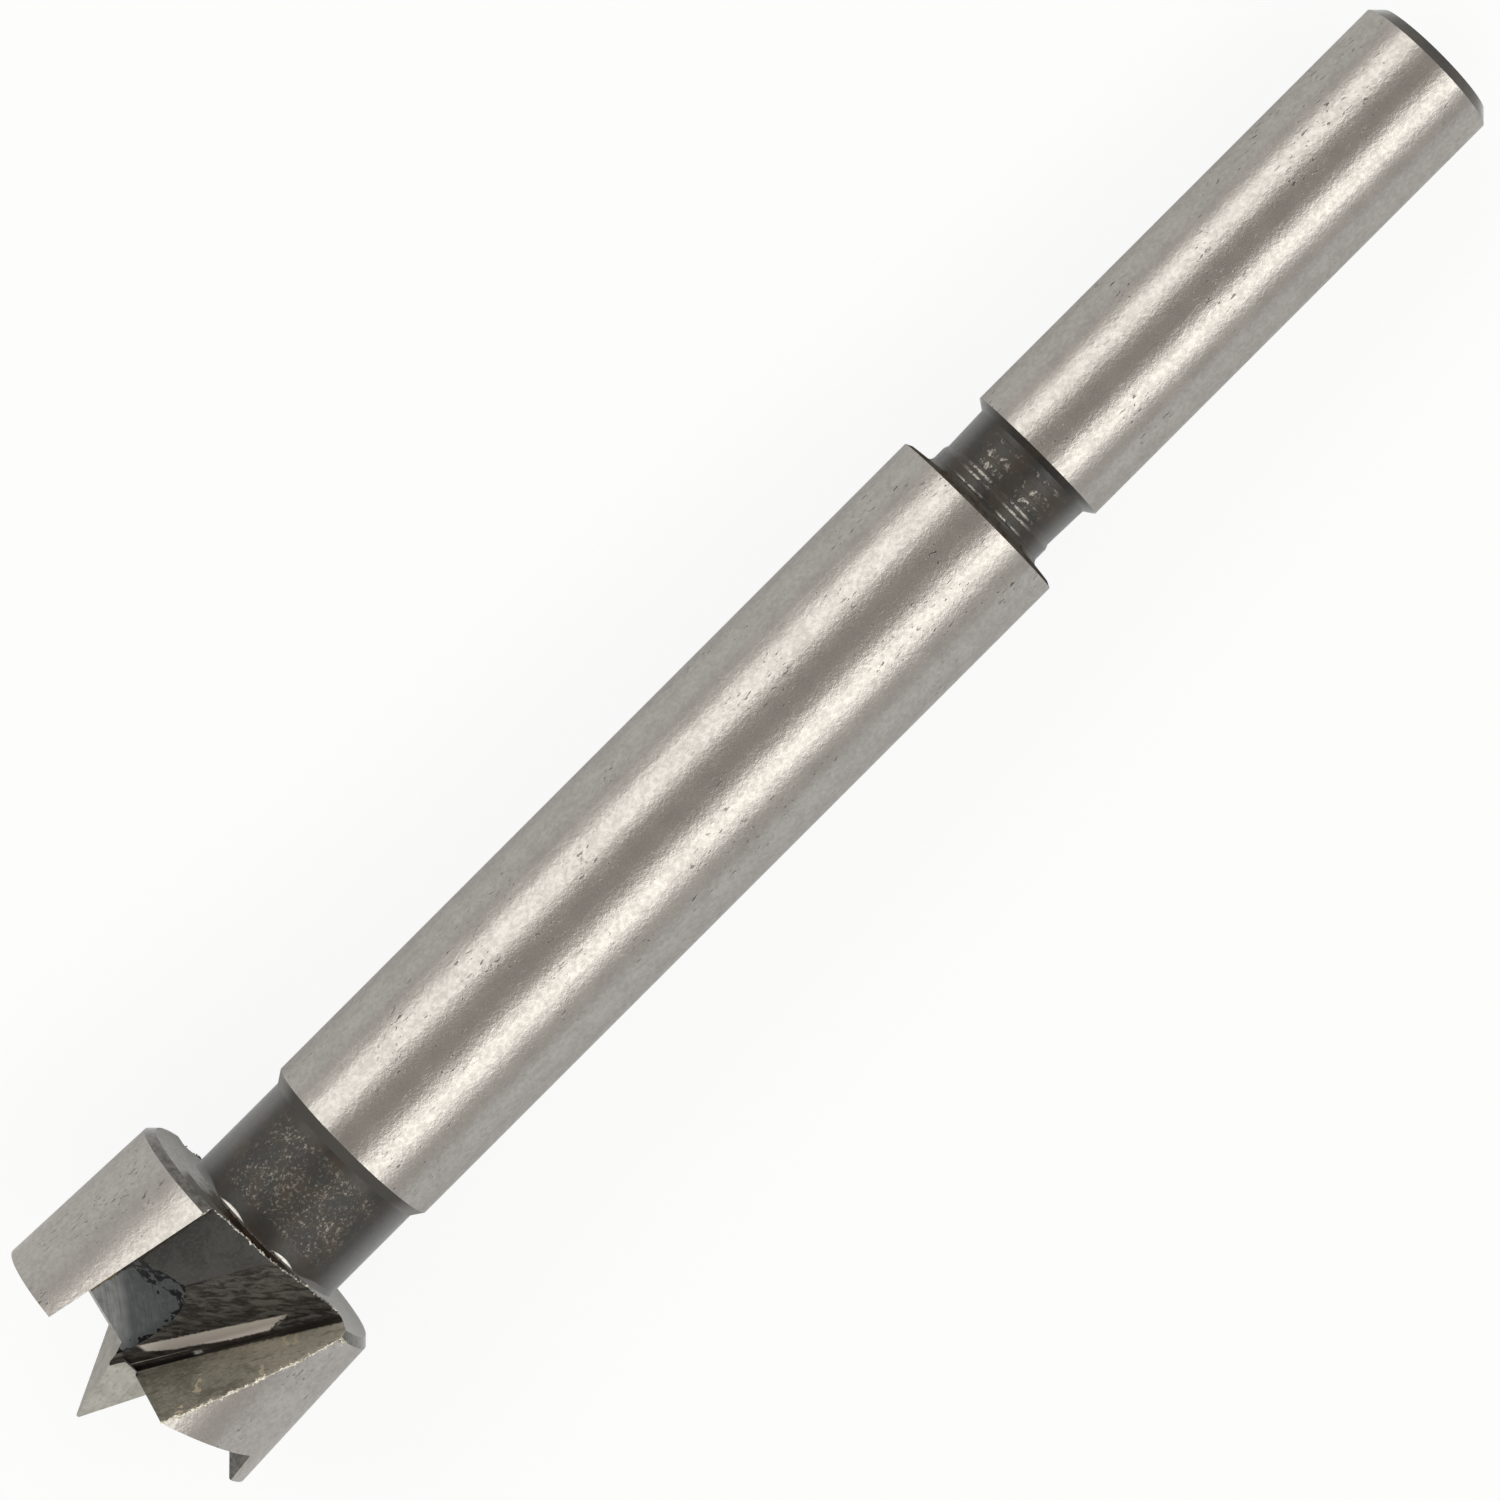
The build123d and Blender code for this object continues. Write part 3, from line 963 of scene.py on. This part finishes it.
spur, shader, where = new_material("spur_steel", 0.4, 0.4)
grain = noise(where["Place"], 2.5, 3.0, 0.6)
colour = blend(fade(grain, 0.35, 0.65), *SPUR)
colour = blend(times(fade(grain, 0.54, 0.60), 0.8), colour, SPUR_STAIN)
wire(shader, colour, grain, (0.5, 0.4), grain, 0.02)

for made in (ground, oxide, rake, gullet, ledge, gash, point, flank, spur, wall, rear):
    shell.materials.append(made)
print("materials", [m.name for m in shell.materials])

# %% [markdown]
# ## Burrs
# Grinding pushes a little steel over the edge, and it stays there as a wire edge of bright crumbs.
# The picture shows one along the outer edge of the rake face. A finer one runs where the gullet breaks out
# at the back of the head and under the chamfer. First come the edges that carry them.

# %% Edges that carry a burr
RAKE_SPAN = (3.0, 12.6)
RUN_OUT_SPAN = (12.0, 12.99)
CHAMFER_SPAN = (12.2, 12.9)


def edges_between(first, second, along_from, along_to):
    """Edges where one finish meets another, as pairs of corners."""
    wanted = {FINISHES.index(first), FINISHES.index(second)}
    found = []
    for edge in skin.edges:
        kinds = {f.material_index for f in edge.link_faces}
        places = [on_tool(v.co) for v in edge.verts]
        if kinds == wanted and all(along_from < p.x < along_to for p in places):
            found.append([v.co.copy() for v in edge.verts])
    return found


rake_edges = edges_between("rake", "ground", *RAKE_SPAN)
run_out_edges = []
for behind in ("oxide", "rear"):
    for milled in ("gullet", "ledge"):
        run_out_edges += edges_between(milled, behind, *RUN_OUT_SPAN)
run_out_edges += edges_between("wall", "oxide", *CHAMFER_SPAN)
skin.free()
print("burr edges: rake", len(rake_edges), "run-out", len(run_out_edges))

# %% [markdown]
# ## A recipe for a wire edge
# A real burr is as long as its edge and as thin as a hair, and it breaks off in places. This Geometry Nodes
# recipe resamples the edge, swells a bead along it by noise, shakes its points a little and strews flat
# crumbs beside it. Its spacing, sizes, raggedness and seed are named inputs.

# %% Geometry Nodes recipe for a burr
BEAD_SWELL = (0.40, 0.61, 0.12, 1.3)
SHAKE = 0.8
CRUMB_CHANCE = 0.4
CRUMB_SHAPE = ((0.3, 0.3, 0.3), (1.5, 0.9, 0.7))
SPIN_SEED = 3
SHAPE_SEED = 5


def random_vector(tree, low, high, seed):
    """Three random numbers for each point."""
    inputs = {"Min": low, "Max": high, "Seed": seed}
    return box("FunctionNodeRandomValue", inputs, tree, data_type="FLOAT_VECTOR").outputs[0]


def moved(points, direction, distance):
    """Move each point along its own direction."""
    offset = box("ShaderNodeVectorMath", {0: direction, "Scale": distance}, operation="SCALE")
    inputs = {"Geometry": points, "Offset": offset.outputs[0]}
    return box("GeometryNodeSetPosition", inputs).outputs[0]


def burr_recipe(paint):
    """Bead and crumbs along the edges of a wire mesh."""
    tree = bpy.data.node_groups.new("burr_along_edges", "GeometryNodeTree")
    tree.interface.new_socket("Geometry", in_out="INPUT", socket_type="NodeSocketGeometry")
    for label, number in (("Spacing", 0.1), ("Bead", 0.05), ("Crumb", 0.05), ("Ragged per mm", 1.4)):
        socket = tree.interface.new_socket(label, in_out="INPUT", socket_type="NodeSocketFloat")
        socket.default_value = number
    tree.interface.new_socket("Seed", in_out="INPUT", socket_type="NodeSocketInt")
    tree.interface.new_socket("Geometry", in_out="OUTPUT", socket_type="NodeSocketGeometry")
    given = box("NodeGroupInput", tree=tree).outputs
    spacing, bead_size, crumb_size = [times(given[label], MM) for label in ("Spacing", "Bead", "Crumb")]

    edge = box("GeometryNodeMeshToCurve", {"Mesh": given["Geometry"]}).outputs[0]
    line = box("GeometryNodeResampleCurve", {"Curve": edge, "Length": spacing},
               mode="LENGTH").outputs[0]
    spot = box("GeometryNodeInputPosition", tree=tree).outputs[0]
    ragged = noise(spot, calc("DIVIDE", given["Ragged per mm"], MM), 3.0, 0.7)
    thick = times(bead_size, fade(ragged, *BEAD_SWELL))
    shaken = random_vector(tree, (-1, -1, -1), (1, 1, 1), given["Seed"])
    line = moved(line, shaken, times(thick, SHAKE))
    bead_line = box("GeometryNodeSetCurveRadius", {"Curve": line, "Radius": thick}).outputs[0]
    ring = box("GeometryNodeCurvePrimitiveCircle", {"Resolution": 6, "Radius": 1.0}, tree).outputs[0]
    bead = box("GeometryNodeCurveToMesh", {
        "Curve": bead_line, "Profile Curve": ring, "Scale": thick, "Fill Caps": True}).outputs[0]

    scatter = box("GeometryNodeCurveToPoints", {"Curve": line}, mode="EVALUATED").outputs[0]
    chance = box("FunctionNodeRandomValue", {"Probability": CRUMB_CHANCE, "Seed": given["Seed"]},
                 data_type="BOOLEAN").outputs[3]
    crumb = box("GeometryNodeMeshIcoSphere", {"Radius": crumb_size, "Subdivisions": 1}).outputs[0]
    crumbs = box("GeometryNodeInstanceOnPoints", {
        "Points": moved(scatter, shaken, bead_size), "Selection": chance, "Instance": crumb,
        "Rotation": random_vector(tree, (0, 0, 0), (6.28, 6.28, 6.28), SPIN_SEED),
        "Scale": random_vector(tree, *CRUMB_SHAPE, SHAPE_SEED)}).outputs[0]
    both = tree.nodes.new("GeometryNodeJoinGeometry")
    tree.links.new(bead, both.inputs[0])
    tree.links.new(crumbs, both.inputs[0])
    solid_burr = box("GeometryNodeRealizeInstances", {"Geometry": both.outputs[0]}).outputs[0]
    painted = box("GeometryNodeSetMaterial", {"Geometry": solid_burr, "Material": paint}).outputs[0]
    box("NodeGroupOutput", {"Geometry": painted})
    return tree


# %% [markdown]
# ## Two burrs from one recipe
# Burr steel is cream, and duller at the back of the head. Each burr is the recipe run on its own edges, and
# what it makes is kept as a plain mesh. No crumb may lie below the bench.

# %% Burr steel and the two burrs
BURR = ((0.50, 0.47, 0.40), (0.80, 0.76, 0.66))
DULL_BURR = ((0.17, 0.165, 0.155), (0.58, 0.56, 0.51))

burr_steel, shader, where = new_material("burr_steel", 0.6, 0.5)
grain = noise(where["Place"], 6.0, 2.0, 0.6)
colour = blend(fade(grain, 0.35, 0.65), *BURR)
dull = blend(fade(grain, 0.42, 0.58), *DULL_BURR)
colour = blend(fade(where["Along"], 12.35, 12.60), colour, dull)
wire(shader, colour, grain, (0.5, 0.35), grain, 0.01)
recipe = burr_recipe(burr_steel)
print("recipe", recipe.name, "with", len(recipe.nodes), "nodes")


def lay_burr(name, edges, numbers):
    """Run the recipe along the edges and keep the result as a plain mesh."""
    corners = []
    pairs = []
    for ends in edges:
        pairs.append((len(corners), len(corners) + 1))
        corners += [tuple(p) for p in ends]
    line_mesh = bpy.data.meshes.new(name + "_line")
    line_mesh.from_pydata(corners, pairs, [])
    thread = bmesh.new()
    thread.from_mesh(line_mesh)
    bmesh.ops.remove_doubles(thread, verts=thread.verts, dist=MERGE_GAP)
    thread.to_mesh(line_mesh)
    thread.free()
    carrier = add_object(name + "_line", line_mesh)
    modifier = carrier.modifiers.new("burr", "NODES")
    modifier.node_group = recipe
    for item in recipe.interface.items_tree:
        if item.item_type == "SOCKET" and item.in_out == "INPUT" and item.name in numbers:
            modifier[item.identifier] = numbers[item.name]
    evaluated = carrier.evaluated_get(bpy.context.evaluated_depsgraph_get())
    mesh = bpy.data.meshes.new_from_object(evaluated)
    mesh.name = name
    for corner in mesh.vertices:
        corner.co.z = max(corner.co.z, 0.0)
    bpy.data.objects.remove(carrier)
    print(name, "faces", len(mesh.polygons))
    return add_object(name, mesh)


rake_burr = lay_burr("rake_burr", rake_edges, {
    "Spacing": 0.08, "Bead": 0.085, "Crumb": 0.085, "Seed": 4, "Ragged per mm": 2.2})
run_out_burr = lay_burr("run_out_burr", run_out_edges, {
    "Spacing": 0.09, "Bead": 0.045, "Crumb": 0.070, "Seed": 9, "Ragged per mm": 2.6})

# %% [markdown]
# ## Light
# The picture shows two long cream bands on the round parts: two strip lamps standing along the tool. The
# darker middle is the unlit room behind the camera, and the brownish flanks are the room's sides.

# %% Strip lamps along the tool
LAMP_DISTANCE = 450.0
LAMP_LENGTH = 1400.0


def strip_lamp(name, angle, spread, radiance, colour):
    """A long soft lamp parallel to the tool, at an angle from straight up towards ACROSS."""
    width = 2 * LAMP_DISTANCE * math.tan(math.radians(spread / 2))
    data = bpy.data.lights.new(name, "AREA")
    data.shape = "RECTANGLE"
    data.size = LAMP_LENGTH * MM
    data.size_y = width * MM
    data.energy = radiance * math.pi * data.size * data.size_y
    data.color = colour
    lamp = add_object(name, data)
    away = UP * math.cos(math.radians(angle)) + ACROSS * math.sin(math.radians(angle))
    hang = Matrix((ALONG, away.cross(ALONG), away)).transposed().to_4x4()
    hang.translation = in_room(LOOK_ALONG, 0, 0) + away * LAMP_DISTANCE * MM
    lamp.matrix_world = hang
    print(name, "width", round(width), "mm, power", round(data.energy, 2), "W")


strip_lamp("lamp_left", angle=-46.6, spread=33, radiance=1.37, colour=(1.0, 0.965, 0.875))
strip_lamp("lamp_right", angle=39.7, spread=28.7, radiance=1.83, colour=(1.0, 0.976, 0.885))

# %% [markdown]
# ## What the steel mirrors besides the lamps
# Bright steel shows its surroundings. The middle of each round part mirrors the room behind the camera, and
# its sides mirror the room beside the bench. Long cards give these grey levels to reflections alone, so the
# light on the floor and on rough surfaces stays as it is.

# %% Cards that only reflections see
CARD_DISTANCE = 520.0
CARD_HALF_LENGTH = 900.0


def blank_paint(name):
    """A material with nothing in it yet."""
    paint = bpy.data.materials.new(name)
    paint.use_nodes = True
    paint.node_tree.nodes.clear()
    return paint


def flat_sheet(name, corners, paint):
    """A sheet through four corners, in the order round it."""
    sheet = bpy.data.meshes.new(name)
    sheet.from_pydata(corners, [], [(0, 1, 2, 3)])
    sheet.materials.append(paint)
    return add_object(name, sheet)


def card(name, angle_from, angle_to, strength, colour):
    """A long sheet beside the tool between two angles from straight up."""
    corners = []
    for angle, side in ((angle_from, -1), (angle_from, 1), (angle_to, 1), (angle_to, -1)):
        across = CARD_DISTANCE * math.sin(math.radians(angle))
        up = CARD_DISTANCE * math.cos(math.radians(angle))
        corners.append(tuple(in_room(LOOK_ALONG + side * CARD_HALF_LENGTH, across, up)))
    paint = blank_paint(name)
    glow = box("ShaderNodeEmission", {"Color": (*colour, 1), "Strength": strength}, paint.node_tree)
    box("ShaderNodeOutputMaterial", {"Surface": glow.outputs[0]})
    sheet = flat_sheet(name, corners, paint)
    sheet.visible_camera = False
    sheet.visible_diffuse = False
    sheet.visible_shadow = False


card("card_middle", -30, 24, 0.455, (1.0, 0.91, 0.83))
card("card_left", -89, -62, 0.68, (1.0, 0.945, 0.89))
card("card_right", 58, 89, 0.64, (1.0, 0.94, 0.87))

# %% [markdown]
# ## White room and pale floor
# The picture was taken on white, so the camera finds white wherever it misses the bit, and the floor keeps
# only a faint shadow. For gloss the floor carries a painted shadow: it is painted darker near the tool and
# lighter farther out, with one level for each side of the tool.

# %% White room and pale floor
FLOOR_HALF = 1.2
FLOOR_SEEN = 0.88
FLOOR_WHITE = (0.86, 0.86, 0.86, 1)
SKY_FOR_LIGHT = 0.45
MIRRORED_IN_PAINTED_SHADOW = (0.10, 0.0)
MIRRORED_FAR = (0.72, 0.36)
SIDE_CHANGE = 5 * MM
SHADE_START = 14 * MM
SHADE_END = 32 * MM


def seen_share(tree, by_camera=1.0, by_mirror=1.0):
    """How white a ray finds the background: for the camera, for gloss and glass, and 0 for the rest."""
    path = box("ShaderNodeLightPath", tree=tree).outputs
    mirrored = highest(path["Is Glossy Ray"], path["Is Transmission Ray"])
    return add_up(times(path["Is Camera Ray"], by_camera), times(mirrored, by_mirror))


world = bpy.data.worlds.new("world")
bpy.context.scene.world = world
world.use_nodes = True
tree = world.node_tree
sky = tree.nodes["Background"]
sky.inputs["Color"].default_value = (1, 1, 1, 1)
tree.links.new(fade(seen_share(tree), 0, 1, SKY_FOR_LIGHT, 1.0), sky.inputs["Strength"])

floor_paint = blank_paint("floor")
tree = floor_paint.node_tree
chalk = box("ShaderNodeBsdfDiffuse", {"Color": FLOOR_WHITE}, tree).outputs[0]
glow = box("ShaderNodeEmission", {"Strength": 1.0}, tree).outputs[0]
aside = split(box("ShaderNodeTexCoord", tree=tree).outputs["Object"])["Y"]
near, far = [fade(aside, -SIDE_CHANGE, SIDE_CHANGE, *pair) for pair in (MIRRORED_IN_PAINTED_SHADOW, MIRRORED_FAR)]
# Painted shadow: the floor seen by gloss is darker near the tool, and lighter on one side than on the other.
mirrored = fade(off(aside), SHADE_START, SHADE_END, near, far)
share = seen_share(tree, FLOOR_SEEN, mirrored)
mixed = box("ShaderNodeMixShader", {0: share, 1: chalk, 2: glow}).outputs[0]
box("ShaderNodeOutputMaterial", {"Surface": mixed})
corners = [(x * FLOOR_HALF, y * FLOOR_HALF, 0) for x, y in ((-1, -1), (1, -1), (1, 1), (-1, 1))]
flat_sheet("floor", corners, floor_paint)
print("floor", 2 * FLOOR_HALF, "m wide, seen white by", FLOOR_SEEN)

# %% [markdown]
# ## Put the dressed piece in place
# The dressed shell stands for the imported solid and rides on the one body. The burrs ride with it.

# %% Put the pieces in place
bpy.context.scene.view_settings.view_transform = "Standard"
for piece in (bit, rake_burr, run_out_burr):
    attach(piece, "root")
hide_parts("forstner_bit")
